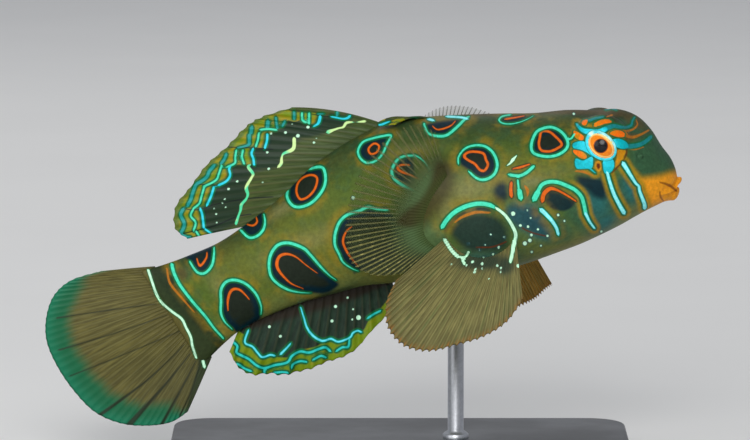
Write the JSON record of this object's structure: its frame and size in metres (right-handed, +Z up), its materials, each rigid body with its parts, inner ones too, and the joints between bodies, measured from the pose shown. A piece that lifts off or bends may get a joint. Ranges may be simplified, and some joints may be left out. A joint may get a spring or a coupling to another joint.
{
  "type": "spotted mandarinfish model on a stand",
  "caption": "Life-size still model of a spotted mandarinfish with spread fins, held on a rod over a flat display base.",
  "frame": {"origin": "centre of the underside of the stand's base", "axes": "+X towards the head, +Y towards the fish's left side, +Z up"},
  "size_m": [0.0636, 0.026, 0.0365],
  "materials": {
    "skin": "smooth moist olive skin",
    "eye": "glossy, orange iris",
    "ray_fin": "thin translucent membrane with ridged rays",
    "marked_fin": "thin membrane with blue and yellow-green bands",
    "base": "satin charcoal",
    "rod": "brushed"
  },
  "bodies": {
    "root": {"head": "skin", "trunk": "skin", "tail_stem": "skin", "eye_right": "eye", "eye_left": "eye", "fin_pectoral_right": "ray_fin", "fin_pectoral_left": "ray_fin", "fin_pelvic_right": "ray_fin", "fin_pelvic_left": "ray_fin", "fin_caudal": "ray_fin", "fin_dorsal_first": "marked_fin", "fin_dorsal_second": "marked_fin", "fin_anal": "marked_fin", "stand_base": "base", "stand_rod": "rod"}
  },
  "joints": []
}
